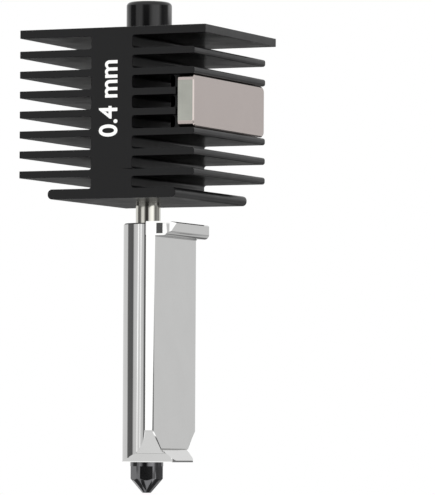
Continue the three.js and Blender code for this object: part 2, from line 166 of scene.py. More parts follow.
@dataclass(frozen=True)
class Finish:
    """A surface finish whose patches and fine marks are drawn at their real size.

    Attributes:
        name: What the real surface is, in a maker's words.
        colour: Its sRGB colour.
        patch_colour: The colour that its patches drift towards.
        metallic: 1 for bare or plated metal, 0 for a dyed, painted or glued surface.
        roughness: Middle roughness.
        roughness_swing: How far the patches take the roughness up and down.
        patch_size: Width of one patch.
        mark_size: Spacing of the fine marks that the tool or the blasting left.
        mark_depth: Depth of those marks.
        lay: Which way they run.
        specular: How strongly it reflects, with 0.5 for a clear varnish.
        end_colour: The sRGB colour of the end faces, where it differs.
        end_from: Distance along Y at which the ends start.
    """

    name: str
    colour: str
    patch_colour: str
    metallic: float
    roughness: float
    roughness_swing: float
    patch_size: float
    mark_size: float
    mark_depth: float
    lay: Lay = Lay.BLASTED
    specular: float = 0.5
    end_colour: str = ""
    end_from: float = 0

    def material(self) -> bpy.types.Material:
        """Builds the finish as a procedural material on Object coordinates."""
        made = bpy.data.materials.new(self.name)
        made.use_nodes = True
        tree = made.node_tree
        tree.nodes.clear()
        place = add_node(tree, "ShaderNodeTexCoord").outputs["Object"]
        patches = add_node(tree, "ShaderNodeTexNoise",
                           {"Scale": 1 / self.patch_size, **PATCH_NOISE},
                           {"Vector": place}).outputs["Fac"]
        along = add_node(tree, "ShaderNodeMapping", {"Scale": self.lay.value}, {"Vector": place})
        marks = add_node(tree, "ShaderNodeTexNoise",
                         {"Scale": 1 / self.mark_size, **MARK_NOISE},
                         {"Vector": along.outputs["Vector"]}).outputs["Fac"]
        tone = mixed(tree, patches, linear(self.colour), linear(self.patch_colour))
        if self.end_colour:
            tone = self.tint_ends(tree, place, tone)
        gloss = add_node(tree, "ShaderNodeMapRange",
                         {**NOISE_REACH, "To Min": self.roughness - self.roughness_swing,
                          "To Max": self.roughness + self.roughness_swing},
                         {"Value": patches}).outputs["Result"]
        relief = add_node(tree, "ShaderNodeBump", {"Distance": self.mark_depth},
                          {"Height": marks}).outputs["Normal"]
        shader = add_node(tree, "ShaderNodeBsdfPrincipled",
                          {"Metallic": self.metallic, "Specular IOR Level": self.specular},
                          {"Base Color": tone, "Roughness": gloss, "Normal": relief})
        add_node(tree, "ShaderNodeOutputMaterial", None, {"Surface": shader.outputs["BSDF"]})
        return made

    def tint_ends(self, tree: bpy.types.NodeTree, place: bpy.types.NodeSocket,
                  tone: bpy.types.NodeSocket) -> bpy.types.NodeSocket:
        """Gives the end faces their own colour.

        Args:
            tree: The material's node tree.
            place: The Object coordinates.
            tone: The colour so far.

        Returns:
            The colour with the ends in it.
        """
        along = add_node(tree, "ShaderNodeSeparateXYZ", None, {"Vector": place}).outputs["Y"]
        reach = add_node(tree, "ShaderNodeMath", {"operation": "ABSOLUTE"}, {0: along}).outputs[0]
        at_end = add_node(tree, "ShaderNodeMath", {"operation": "GREATER_THAN", 1: self.end_from},
                          {0: reach}).outputs[0]
        return mixed(tree, at_end, tone, linear(self.end_colour))


# Anodised aluminium, dyed black: a hard glassy oxide over metal, so it shines like dark glass
# that has been frosted by blasting. Its grain is 0.08 mm, drawn no finer so that it still shows.
BLACK_ANODISED = Finish(
    "black_anodised_aluminium", "0f0f10", "141415", metallic=0, roughness=0.36,
    roughness_swing=0.05, patch_size=3 * MM, mark_size=0.08 * MM, mark_depth=0.0012 * MM,
    specular=0.25)

# The same oxide on a turned face: rings from the tool, 0.1 mm apart, and a brighter sheen.
TURNED_ANODISED = Finish(
    "turned_black_aluminium", "060607", "0a0a0b", metallic=0, roughness=0.1,
    roughness_swing=0.02, patch_size=2 * MM, mark_size=0.1 * MM, mark_depth=0.0004 * MM,
    lay=Lay.TURNED)

# Stainless tube, centreless ground and polished: nearly a mirror, with faint rings.
POLISHED_STAINLESS = Finish(
    "polished_stainless_tube", "d6d5ce", "cfcdc4", metallic=1, roughness=0.07,
    roughness_swing=0.02, patch_size=1.5 * MM, mark_size=0.06 * MM, mark_depth=0.0002 * MM,
    lay=Lay.TURNED)

# Nickel plate over a polished copper alloy: a clear mirror that is a shade warmer than steel.
POLISHED_NICKEL = Finish(
    "polished_nickel_plate", "d5d5d4", "cececd", metallic=1, roughness=0.05,
    roughness_swing=0.015, patch_size=4 * MM, mark_size=0.12 * MM, mark_depth=0.0003 * MM,
    lay=Lay.LENGTHWISE)

# Hardened steel with a black oxide: dark, still metallic, with a soft gloss on the flats.
BLACK_OXIDE_STEEL = Finish(
    "black_oxide_steel", "717173", "676769", metallic=1, roughness=0.1, roughness_swing=0.03,
    patch_size=0.8 * MM, mark_size=0.05 * MM, mark_depth=0.0006 * MM)

# Nickel on sintered magnet material: bright, a little pink, with a slight orange peel. The sawn
# ends took the plating duller and greyer.
PLATED_MAGNET = Finish(
    "nickel_plated_magnet", "bfb5b1", "b6aca8", metallic=1, roughness=0.14, roughness_swing=0.03,
    patch_size=2.5 * MM, mark_size=0.25 * MM, mark_depth=0.0008 * MM, end_colour="999a93",
    end_from=10.445 * MM)

# White marking ink: flat and matte, with the thin grain of a pad print.
MARKING_INK = Finish(
    "white_marking_ink", "fafaf8", "f2f2f0", metallic=0, roughness=0.5, roughness_swing=0.05,
    patch_size=0.6 * MM, mark_size=0.06 * MM, mark_depth=0.001 * MM)

# Cured epoxy: dark, smooth, with a dull shine.
EPOXY_BOND = Finish(
    "dark_epoxy", "1d1c1b", "262422", metallic=0, roughness=0.45, roughness_swing=0.06,
    patch_size=1.2 * MM, mark_size=0.2 * MM, mark_depth=0.002 * MM)

# Painted board under the object: pale and matte.
PALE_BOARD = Finish(
    "pale_board", "e6e6e5", "e2e2e1", metallic=0, roughness=0.85, roughness_swing=0.03,
    patch_size=60 * MM, mark_size=0.8 * MM, mark_depth=0.01 * MM)


def select_only(thing: bpy.types.Object) -> None:
    """Selects one object, and nothing else, and makes it the active one."""
    bpy.ops.object.select_all(action="DESELECT")
    thing.select_set(True)
    bpy.context.view_layer.objects.active = thing


def settle() -> None:
    """Puts the selected object's place, turn and scale into its mesh."""
    bpy.ops.object.transform_apply(location=True, rotation=True, scale=True)


@contextmanager
def editing(thing: bpy.types.Object, mode: str = "VERT") -> Iterator[None]:
    """Opens an object in edit mode with all of it selected, and closes it again.

    Args:
        thing: The object to edit.
        mode: VERT, EDGE or FACE.
    """
    select_only(thing)
    bpy.ops.object.mode_set(mode="EDIT")
    bpy.ops.mesh.select_mode(type=mode)
    bpy.ops.mesh.select_all(action="SELECT")
    yield
    bpy.ops.object.mode_set(mode="OBJECT")


def keep_selected(thing: bpy.types.Object, wanted: Callable[[Vector], bool]) -> None:
    """Leaves only those selected edges whose middle passes a test.

    Args:
        thing: The object in edit mode.
        wanted: Says whether an edge stays selected, from its middle point.
    """
    shape = bmesh.from_edit_mesh(thing.data)
    chosen = [e for e in shape.edges if e.select and wanted((e.verts[0].co + e.verts[1].co) / 2)]
    for part in (shape.verts, shape.edges, shape.faces):
        for item in part:
            item.select = False
    for edge in chosen:
        edge.select_set(True)
    bmesh.update_edit_mesh(thing.data)


def soften(thing: bpy.types.Object, width: float, segments: int,
           wanted: Callable[[Vector], bool] | None = None) -> None:
    """Breaks an object's sharp edges, as a maker does, so that they catch the light.

    Args:
        thing: The object.
        width: Width of the broken edge.
        segments: How many strips it has, with one for a flat chamfer.
        wanted: Which sharp edges are broken, by their middle points. All of them, if left out.
    """
    with editing(thing, "EDGE"):
        bpy.ops.mesh.select_all(action="DESELECT")
        bpy.ops.mesh.edges_select_sharp(sharpness=SHARP_ANGLE)
        keep_selected(thing, wanted or (lambda middle: True))
        bpy.ops.mesh.bevel(offset=width, segments=segments, affect="EDGES", clamp_overlap=False)


def combine(thing: bpy.types.Object, tool: bpy.types.Object, how: str) -> None:
    """Joins, cuts or crosses an object with a tool body, and deletes the tool.

    Args:
        thing: The object that stays.
        tool: The tool body.
        how: UNION, DIFFERENCE or INTERSECT.
    """
    step = thing.modifiers.new("combine", "BOOLEAN")
    step.operation = how
    step.object = tool
    step.solver = "EXACT"
    select_only(thing)
    bpy.ops.object.modifier_apply(modifier=step.name)
    bpy.data.objects.remove(tool)


def turned(name: str, x: float, profile: Sequence[Point], hollow: bool = False,
           sides: int = ROUND_SIDES) -> bpy.types.Object:
    """Turns a profile about an upright axis, ring by ring.

    Args:
        name: The new object's name.
        x: Where the axis stands.
        profile: (radius, z) points, none of them on the axis. On a solid body they lead from its
            bottom cap to its top cap. On a hollow one they go once round its section.
        hollow: Whether the body has a bore.
        sides: How many sides the round has.

    Returns:
        The closed body, with its place in its mesh.
    """
    radius, z = profile[0]
    bpy.ops.object.select_all(action="DESELECT")
    bpy.ops.mesh.primitive_circle_add(vertices=sides, radius=radius, location=(x, 0, z),
                                      fill_type="NOTHING" if hollow else "NGON")
    thing = bpy.context.object
    thing.name = name
    settle()
    with editing(thing, "EDGE" if hollow else "FACE"):
        if not hollow:
            bpy.ops.mesh.duplicate()
        for next_radius, next_z in [*profile[1:], *(profile[:1] if hollow else [])]:
            rise = {"value": (0, 0, next_z - z)}
            bpy.ops.mesh.extrude_region_move(TRANSFORM_OT_translate=rise)
            grow = next_radius / radius
            bpy.ops.transform.resize(value=(grow, grow, 1), center_override=(x, 0, next_z))
            radius, z = next_radius, next_z
        close_up()
    return thing


def close_up() -> None:
    """Merges the doubles of the object in edit mode, and turns all its faces outwards."""
    bpy.ops.mesh.select_all(action="SELECT")
    bpy.ops.mesh.remove_doubles(threshold=SAME_POINT)
    bpy.ops.mesh.normals_make_consistent(inside=False)


def arc(centre: Point, radius: float, start: float, end: float, steps: int = 8) -> list[Point]:
    """Points along an arc of a profile.

    Args:
        centre: The arc's centre, as (radius, z).
        radius: The arc's own radius.
        start: First angle in degrees, from straight outwards.
        end: Last angle.
        steps: How many steps lead from one to the other.

    Returns:
        The points, both ends included.
    """
    angles = [math.radians(start + (end - start) * i / steps) for i in range(steps + 1)]
    return [(centre[0] + radius * math.cos(a), centre[1] + radius * math.sin(a)) for a in angles]


@dataclass(frozen=True)
class Thread:
    """A 60 degree screw thread about an upright axis.

    Attributes:
        x: Where the axis stands.
        low: The thread's lower end.
        high: Its upper end.
        root: Radius at the bottom of the groove.
        crest: Radius over the ridge.
        pitch: Rise in one turn.
        ridge_shares: Where the ridge starts, its crest starts and ends, and it ends, as shares of
            the pitch.
        run_in: Turns that start under the lower end and are cut off.
        sides: How many sides one turn has.
    """

    x: float
    low: float
    high: float
    root: float
    crest: float
    pitch: float = 0.8 * MM
    ridge_shares: tuple[float, float, float, float] = (0.125, 0.4375, 0.5625, 0.875)
    run_in: int = 2
    sides: int = 96

    def rod(self, name: str) -> bpy.types.Object:
        """Carries one ridge up a helix and caps both ends.

        Args:
            name: The new object's name.

        Returns:
            A closed threaded rod.
        """
        radii = (self.root, self.crest, self.crest, self.root, self.root)
        ridge = list(zip(radii, (*self.ridge_shares, 1)))
        start = Vector((self.x, 0, self.low - self.run_in * self.pitch))
        bpy.ops.object.select_all(action="DESELECT")
        bpy.ops.mesh.primitive_plane_add(size=self.pitch, location=start)
        thing = bpy.context.object
        thing.name = name
        with editing(thing):
            bpy.ops.mesh.merge(type="CENTER")
            bpy.ops.transform.translate(value=(self.root, 0, 0))
            radius, share = self.root, 0.0
            for next_radius, next_share in ridge:
                step = (next_radius - radius, 0, (next_share - share) * self.pitch)
                bpy.ops.mesh.extrude_region_move(TRANSFORM_OT_translate={"value": step})
                radius, share = next_radius, next_share
        helix = thing.modifiers.new("helix", "SCREW")
        helix.steps = helix.render_steps = self.sides
        helix.screw_offset = self.pitch
        helix.iterations = math.ceil((self.high - self.low) / self.pitch) + self.run_in + 1
        select_only(thing)
        bpy.ops.object.modifier_apply(modifier=helix.name)
        settle()
        with editing(thing):
            bpy.ops.mesh.remove_doubles(threshold=SAME_POINT)
            bpy.ops.mesh.bisect(plane_co=(self.x, 0, self.low), plane_no=(0, 0, 1),
                                use_fill=True, clear_inner=True, threshold=ON_PLANE)
            bpy.ops.mesh.select_all(action="SELECT")
            bpy.ops.mesh.bisect(plane_co=(self.x, 0, self.high), plane_no=(0, 0, 1),
                                use_fill=True, clear_outer=True, threshold=ON_PLANE)
            close_up()
        return thing


def copy_of(node: str, name: str) -> bpy.types.Object:
    """Copies a CAD node's mesh and merges it into clean flat faces.

    Args:
        node: The node's name.
        name: The copy's name.

    Returns:
        The copy, a closed mesh.
    """
    thing = bpy.data.objects.new(name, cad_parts[node].data.copy())
    bpy.context.scene.collection.objects.link(thing)
    thing.data.materials.clear()
    with editing(thing):
        close_up()
        bpy.ops.mesh.dissolve_limited(angle_limit=FLAT_ANGLE)
    return thing


def finished(thing: bpy.types.Object, body: Body, node: str | None,
             finish: Finish) -> bpy.types.Object:
    """Smooths a piece, dresses it, hangs it on its body and hides the CAD node that it stands for.

    Args:
        thing: The piece.
        body: The body that it rides on.
        node: The CAD node that it stands for, if any.
        finish: The surface finish.

    Returns:
        The same piece.
    """
    select_only(thing)
    bpy.ops.object.shade_smooth_by_angle(angle=SHARP_ANGLE)
    with editing(thing, "EDGE"):
        bpy.ops.mesh.select_all(action="DESELECT")
        bpy.ops.mesh.edges_select_sharp(sharpness=SHARP_ANGLE)
        bpy.ops.mesh.mark_sharp()
    level = thing.modifiers.new("flat faces stay flat", "WEIGHTED_NORMAL")
    level.keep_sharp = True
    bpy.ops.object.modifier_apply(modifier=level.name)
    thing.data.materials.clear()
    thing.data.materials.append(finish.material())
    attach(thing, body.value)
    if node:
        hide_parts(node)
    LOG.info("%s: %d faces, rides on %s", thing.name, len(thing.data.polygons), body.value)
    return thing


def axis_x() -> float:
    """Where the filament axis stands, from the throat tube."""
    low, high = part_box("throat_tube")
    return (low.x + high.x) / 2


@dataclass
class Heatsink:
    """The finned heatsink with the plain size mark on its front web.

    Attributes:
        edge: Width of the broken edges on the fins.
        mark: What the size mark says.
        mark_length: Length of the mark, along the filament axis.
        mark_height: Height of its digits.
        mark_shift: How far its middle lies to the left of the filament axis.
        mark_foot_share: Where the mark starts, as a share of the heatsink's height.
        ink: How far the ink stands off the web.
        boldness: How much the digits' strokes are widened.
        curve_steps: How many steps a curve of a digit has.
    """

    edge: float = 0.06 * MM
    mark: str = "0.4 mm"
    mark_length: float = 9.1 * MM
    mark_height: float = 2.45 * MM
    mark_shift: float = 0.42 * MM
    mark_foot_share: float = 0.36
    ink: float = 0.02 * MM
    boldness: float = 0.045 * MM
    curve_steps: int = 6

    def build(self) -> list[bpy.types.Object]:
        """Builds the fins and the mark."""
        fins = copy_of("heatsink", "milled_heatsink")
        soften(fins, self.edge, segments=2)
        mark = self.size_mark()
        return [
            finished(fins, Body.HOTEND, "heatsink", BLACK_ANODISED),
            finished(mark, Body.HOTEND, None, MARKING_INK),
        ]

    def size_mark(self) -> bpy.types.Object:
        """Prints a plain number up the front web, in the stock typeface."""
        low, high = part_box("heatsink")
        bpy.ops.object.select_all(action="DESELECT")
        bpy.ops.object.text_add()
        mark = bpy.context.object
        mark.name = "size_mark"
        mark.data.body = self.mark
        mark.data.size = self.mark_height
        mark.data.offset = self.boldness
        mark.data.extrude = self.ink
        mark.data.resolution_u = self.curve_steps
        bpy.ops.object.convert(target="MESH")
        settle()
        corners = [v.co for v in mark.data.vertices]
        left, right = min(c.x for c in corners), max(c.x for c in corners)
        foot, head = min(c.y for c in corners), max(c.y for c in corners)
        # Flat text reads along X: this makes it read up the web, and face the front.
        upright = Matrix(((0, -1, 0, 0), (0, 0, -1, 0), (1, 0, 0, 0), (0, 0, 0, 1)))
        centred = Matrix.Translation((-left, -(foot + head) / 2, 0))
        stretch = self.mark_length / (right - left)
        fitted = Matrix.Diagonal((stretch, self.mark_height / (head - foot), 1, 1))
        foot_z = low.z + self.mark_foot_share * (high.z - low.z)
        start = (axis_x() - self.mark_shift, low.y, foot_z)
        mark.matrix_world = Matrix.Translation(start) @ upright @ fitted @ centred
        select_only(mark)
        settle()
        with editing(mark):
            close_up()
        return mark


@dataclass
class Magnet:
    """The plated bar magnet and the bond behind it.

    Attributes:
        corner: Radius of the bar's corners, seen from the side.
        corner_steps: How many strips make up such a corner.
        edge: Width of the ground edge round both faces.
    """

    corner: float = 0.75 * MM
    corner_steps: int = 8
    edge: float = 0.15 * MM

    def build(self) -> list[bpy.types.Object]:
        """Builds the bar from a block, and dresses the bond."""
        low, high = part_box("magnet")
        middle, size = (low + high) / 2, high - low
        bpy.ops.object.select_all(action="DESELECT")
        bpy.ops.mesh.primitive_cube_add(size=1, location=middle)
        bar = bpy.context.object
        bar.name = "bar_magnet"
        bar.scale = size
        settle()
        with editing(bar, "EDGE"):
            keep_selected(bar, lambda point: abs(point.x - middle.x) < SAME_POINT)
            bpy.ops.mesh.bevel(offset=self.corner, segments=self.corner_steps, affect="EDGES")
        soften(bar, self.edge, segments=1)
        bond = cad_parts["magnet_bond"]
        bond.data.materials.clear()
        bond.data.materials.append(EPOXY_BOND.material())
        return [finished(bar, Body.HOTEND, "magnet", PLATED_MAGNET), bond]


@dataclass
class InletCollar:
    """The turned collar that takes the filament, with its spigot in the heatsink.

    Attributes:
        outer: Radius of the collar.
        spigot: Radius of the spigot.
        bore: Radius of the filament's way.
        inlet: Radius of the countersink.
        inlet_depth: Its depth.
        rounding: Radius on the top edge.
        chamfer: Broken edge at the foot and round the inlet.
    """

    outer: float = 2.75 * MM
    spigot: float = 2.1 * MM
    bore: float = 1 * MM
    inlet: float = 1.8 * MM
    inlet_depth: float = 1.2 * MM
    rounding: float = 0.5 * MM
    chamfer: float = 0.08 * MM

    def build(self) -> list[bpy.types.Object]:
        """Turns the collar."""
        low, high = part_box("inlet_collar")
        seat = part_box("heatsink")[1].z
        centre = (self.outer - self.rounding, high.z - self.rounding)
        crown = arc(centre, self.rounding, 0, QUARTER_TURN)
        lip = self.inlet + self.chamfer
        profile = [
            (self.bore, low.z), (self.spigot, low.z), (self.spigot, seat),
            (self.outer - self.chamfer, seat), (self.outer, seat + self.chamfer), *crown,
            (lip, high.z), (self.inlet, high.z - self.chamfer),
            (self.bore, high.z - self.inlet_depth),
        ]
        collar = turned("turned_collar", axis_x(), profile, hollow=True)
        return [finished(collar, Body.HOTEND, "inlet_collar", TURNED_ANODISED)]


@dataclass
class ThroatTube:
    """The thin steel tube from the nozzle up to the collar.

    Attributes:
        outer: The tube's radius.
        bore: Radius of the filament's way.
        chamfer: Broken edge at both ends.
    """

    outer: float = 1.5 * MM
    bore: float = 1 * MM
    chamfer: float = 0.15 * MM

    def build(self) -> list[bpy.types.Object]:
        """Turns the tube."""
        low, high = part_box("throat_tube")
        waist = self.outer - self.chamfer
        profile = [
            (self.bore, low.z), (waist, low.z), (self.outer, low.z + self.chamfer),
            (self.outer, high.z - self.chamfer), (waist, high.z), (self.bore, high.z),
        ]
        tube = turned("polished_tube", axis_x(), profile, hollow=True)
        return [finished(tube, Body.HOTEND, "throat_tube", POLISHED_STAINLESS)]


@dataclass
class HeaterBlock:
    """The polished block with its threaded socket.

    Attributes:
        edge: Width of the flat chamfers on its outer edges.
        lip: Height of the bands at both ends in which the lips' own small edges lie. Those of the
            bottom lip and of the top lip's pocket stay as they are.
        foot_band: Height of the band at the foot in which the barrel's edges stay as they are.
        pocket: How far the pocket in the top lip's front reaches, with its facet.
        seat_foot: Height of the seat's lower end over the block's bottom.
        seat_head: How far the seat's upper end lies under the block's top.
        relief: Width of the relief grooves at the seat's ends.
        sliver: Width under which leftovers of the chamfering are dissolved.
        facet_tilt: The least tilt of the facet against the lip's face, in degrees.
        socket: Radius of the socket, over the ridges of its thread.
        groove: Radius at the bottom of the thread's groove.
        core_gap: How much thinner than the socket the tap's core is.
        cover: How much of the socket's upper end the thread leaves plain.
        socket_depth: Depth of the socket.
    """

    edge: float = 0.13 * MM
    lip: float = 1.9 * MM
    foot_band: float = 0.52 * MM
    pocket: float = 3 * MM
    seat_foot: float = 1.5 * MM
    seat_head: float = 1.7 * MM
    relief: float = 0.12 * MM
    sliver: float = 0.02 * MM
    facet_tilt: float = 3
    socket: float = 2.5 * MM
    groove: float = 2.7 * MM
    core_gap: float = 0.02 * MM
    cover: float = 0.5 * MM
    socket_depth: float = 6.3 * MM

    def build(self) -> list[bpy.types.Object]:
        """Threads the socket and breaks the outer edges."""
        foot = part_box("heater_block")[0].z
        block = copy_of("heater_block", "polished_block")
        cutter = Thread(axis_x(), foot - OVERRUN, foot + self.socket_depth - self.cover,
                        self.socket - self.core_gap, self.groove).rod("tap")
        combine(block, cutter, "DIFFERENCE")
        soften(block, self.edge, segments=1, wanted=self.outer_edges())
        with editing(block, "EDGE"):
            keep_selected(block, self.off_bores())
            bpy.ops.mesh.dissolve_degenerate(threshold=self.sliver)
        self.relieve(block)
        self.crisp_facet(block)
        return [finished(block, Body.HOTEND, "heater_block", POLISHED_NICKEL)]

    def relieve(self, block: bpy.types.Object) -> None:
        """Cuts the fine V-shaped relief grooves where the seat meets its two lips."""
        low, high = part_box("heater_block")
        for level in (low.z + self.seat_foot, high.z - self.seat_head):
            bpy.ops.object.select_all(action="DESELECT")
            bpy.ops.mesh.primitive_cube_add(size=1, location=(0, 0, level))
            cutter = bpy.context.object
            width = self.relief * math.sqrt(2)
            cutter.scale = (width, high.y - low.y - 2 * self.edge, width)
            cutter.rotation_euler.y = math.radians(45)
            settle()
            combine(block, cutter, "DIFFERENCE")

    def crisp_facet(self, block: bpy.types.Object) -> None:
        """Keeps the border of the shallow facet on the top lip's front corner sharp."""
        (_, front, _), (right, _, top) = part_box("heater_block")

        def on_border(point: Vector) -> bool:
            """Whether an edge lies on the facet's border."""
            on_end = point.x > right - self.edge and point.z < top - self.edge
            return on_end and front + self.edge < point.y < front + self.pocket

        with editing(block, "EDGE"):
            bpy.ops.mesh.select_all(action="DESELECT")
            bpy.ops.mesh.edges_select_sharp(sharpness=math.radians(self.facet_tilt))
            keep_selected(block, on_border)
            bpy.ops.mesh.mark_sharp()

    def off_bores(self) -> Callable[[Vector], bool]:
        """Tells what lies outside the bores.

        Returns:
            A test that is true for a point outside them.
        """
        x, reach = axis_x(), self.groove + self.edge
        return lambda point: math.hypot(point.x - x, point.y) > reach

    def outer_edges(self) -> Callable[[Vector], bool]:
        """Tells the edges that are chamfered, which leaves out bores, lip, pocket and foot.

        Returns:
            A test that is true for the middle of an outer edge.
        """
        (_, front, low), (_, _, top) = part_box("heater_block")
        x, off_bores = axis_x(), self.off_bores()

        def is_outer(point: Vector) -> bool:
            """Whether this edge is an outer one."""
            on_foot = point.z < low + self.foot_band and point.x < x + self.socket
            on_lip = point.z < low + self.lip and point.x > -self.edge
            at_pocket = point.z > top - self.lip and point.y < front + self.pocket
            at_pocket = at_pocket and point.x > self.edge
            return off_bores(point) and not (on_foot or on_lip or at_pocket)

        return is_outer


@dataclass
class Nozzle:
    """The screw-in nozzle: threaded stem, neck, turned hexagon and cone.

    Attributes:
        tip: Radius of the flat round the orifice.
        cone: Height of the cone.
        drive: Height of the hexagon.
        drive_radius: Radius to which the hexagon's corners are turned.
        flats: Half the width across the flats.
        drive_cutter: Length of the hexagon that crosses the head, and passes both its ends.
        turn: Where the hexagon stops when the thread is tight, in degrees.
        neck: Radius of the groove under the stem.
        neck_height: Its height.
        run_out: Height over which the thread comes up to its full height above the neck.
        stem: Radius over the thread.
        root: Radius at the bottom of the thread.
        stem_chamfer: Chamfer on the stem's upper end.
        orifice: Radius of the hole that the melt leaves by.
        bore: Radius of the filament's way.
        land: Length of the orifice.
        melt_cone: Height of the funnel above it.
        edge: Width of the broken edges.
    """

    tip: float = 0.5 * MM
    cone: float = 1.7 * MM
    drive: float = 2 * MM
    drive_radius: float = 1.95 * MM
    flats: float = 1.8 * MM
    drive_cutter: float = 10 * MM
    turn: float = -6.8
    neck: float = 2.05 * MM
    neck_height: float = 0.5 * MM
    run_out: float = 0.2 * MM
    stem: float = 2.45 * MM
    root: float = 2.02 * MM
    stem_chamfer: float = 0.4 * MM
    orifice: float = 0.2 * MM
    bore: float = 1 * MM
    land: float = 0.4 * MM
    melt_cone: float = 0.9 * MM
    edge: float = 0.05 * MM

    def build(self) -> list[bpy.types.Object]:
        """Joins the head and the stem, and bores them."""
        low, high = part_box("nozzle")
        x = axis_x()
        shoulder = low.z + self.cone + self.drive
        nozzle = self.head(x, low.z, shoulder)
        combine(nozzle, self.threaded_stem(x, shoulder, high.z), "UNION")
        combine(nozzle, self.melt_way(x, low.z, high.z), "DIFFERENCE")
        nozzle.name = "screw_in_nozzle"
        return [finished(nozzle, Body.NOZZLE, "nozzle", BLACK_OXIDE_STEEL)]

    def head(self, x: float, tip_z: float, shoulder: float) -> bpy.types.Object:
        """Crosses a turned head with a hexagon.

        Args:
            x: Where the axis stands.
            tip_z: Level of the tip.
            shoulder: Level of the face that meets the block.

        Returns:
            The solid head.
        """
        head = turned("head", x, [
            (self.tip, tip_z), (self.drive_radius, tip_z + self.cone),
            (self.drive_radius, shoulder),
        ])
        # A hexagon's corners lie further out than its flats, by this cosine.
        corner = self.flats / math.cos(math.pi / 6)
        bpy.ops.object.select_all(action="DESELECT")
        bpy.ops.mesh.primitive_cylinder_add(
            vertices=6, radius=corner, depth=self.drive_cutter,
            location=(x, 0, tip_z + self.cone),
            rotation=(0, 0, math.radians(self.turn)),
        )
        hexagon = bpy.context.object
        settle()
        combine(head, hexagon, "INTERSECT")
        soften(head, self.edge, segments=2,
               wanted=lambda point: math.hypot(point.x - x, point.y) > self.tip / 2)
        return head

    def threaded_stem(self, x: float, shoulder: float, top: float) -> bpy.types.Object:
        """Threads a stem, chamfers its end and gives it its neck.

        Args:
            x: Where the axis stands.
            shoulder: Level of the face that meets the block.
            top: Level of the stem's end.

        Returns:
            The solid stem, which reaches into the head.
        """
        stem = Thread(x, shoulder - self.neck_height, top, self.root, self.stem).rod("stem")
        neck = self.neck - self.edge
        combine(stem, turned("envelope", x, [
            (neck, shoulder - 2 * self.neck_height), (neck, shoulder + self.neck_height),
            (self.stem + self.edge, shoulder + self.neck_height + self.run_out),
            (self.stem + self.edge, top - self.stem_chamfer + self.edge),
            (self.stem - self.stem_chamfer, top + self.edge),
        ]), "INTERSECT")
        return stem

    def melt_way(self, x: float, tip_z: float, top: float) -> bpy.types.Object:
        """Makes the cutter for orifice, funnel and bore.

        Args:
            x: Where the axis stands.
            tip_z: Level of the tip.
            top: Level of the stem's end.

        Returns:
            The cutter, which passes both ends.
        """
        return turned("melt_way", x, [
            (self.orifice, tip_z - OVERRUN), (self.orifice, tip_z + self.land),
            (self.bore, tip_z + self.land + self.melt_cone), (self.bore, top + OVERRUN),
        ], sides=BORE_SIDES)


@dataclass(frozen=True)
class Ring:
    """One ring of the tent: white panels with dark gaps between them.

    Attributes:
        panels: Degrees from the camera's place, to its right, and the brightness there.
        starts: Rise at which the ring starts to take over from those before it. A rise is the
            sine of the angle over the horizon, and is negative under it.
        whole: Rise from which only this ring shows.
    """

    panels: tuple[Point, ...]
    starts: float = 0
    whole: float = 0

    def glow(self, tree: bpy.types.NodeTree, bearing: bpy.types.NodeSocket) -> bpy.types.NodeSocket:
        """Hangs the panels round the object.

        Args:
            tree: The world's node tree.
            bearing: The looked-up bearing, as a share of a turn that starts behind the object.

        Returns:
            The ring's brightness, as a colour.
        """
        ramp = add_node(tree, "ShaderNodeValToRGB", None, {"Fac": bearing})
        stops = ramp.color_ramp.elements
        while len(stops) < len(self.panels):
            stops.new(1)
        for stop, (degrees, level) in zip(stops, self.panels):
            stop.position = (degrees + HALF_TURN) / FULL_TURN
            stop.color = (level, level, level, 1)
        return ramp.outputs["Color"]


# The tent round the level, where most of what the polished faces show comes from.
LEVEL_RING = Ring((
    (-180, 0.53), (-112, 0.53), (-107, 0.1), (-74, 0.08), (-68, 0.47), (-51.6, 0.53),
    (-51.2, 1.0), (-48.8, 1.0), (-48.4, 0.56), (-39, 0.5), (-30, 0.13), (-22, 0.03), (-2, 0.03),
    (5, 0.36), (12, 0.66), (30, 0.9), (47, 0.95), (55, 0.6), (64, 0.2), (78, 0.1),
    (90, 0.23), (104, 0.2), (116, 0.1), (123, 0.5), (150, 0.46), (180, 0.53),
))

# Each of these takes over from the ones before it, further up or further down.
OTHER_RINGS = (
    # Over the level: whitest on the right, in two panels with a dark gap between them.
    Ring((
        (-180, 0.5), (-112, 0.4), (-104, 0.08), (-76, 0.08), (-68, 0.55), (-40, 0.6),
        (-28, 0.06), (-4, 0.06), (8, 0.5), (20, 0.9), (48, 1.0), (58, 0.5), (68, 0.12),
        (106, 0.2), (114, 1.0), (134, 1.0), (145, 0.6), (180, 0.5),
    ), starts=0.105, whole=0.135),

    # Under the level: a dark table with a white card on each side, and grey ones between.
    Ring((
        (-180, 0.11), (-157, 0.11), (-153, 1.0), (-141, 1.0), (-138, 0.08), (-98, 0.08),
        (-94, 0.58), (-36, 0.58), (-24, 0.06), (2, 0.06), (12, 0.4), (64, 0.4), (68, 1.0),
        (83, 1.0), (88, 0.3), (100, 0.07), (128, 0.07), (134, 0.4), (148, 0.4), (156, 0.11),
        (180, 0.11),
    ), starts=-0.06, whole=-0.11),

    # Nearly straight down: a dark stand, with two gaps that light comes up through.
    Ring((
        (-180, 0.08), (-125, 0.08), (-122, 0.6), (-97, 0.6), (-94, 0.06), (-38, 0.06),
        (-30, 0.7), (58, 0.7), (66, 0.06), (180, 0.08),
    ), starts=-0.885, whole=-0.895),

    # The tent's roof, of one even grey.
    Ring(((-180, 0.6), (180, 0.6)), starts=0.18, whole=0.3),
)


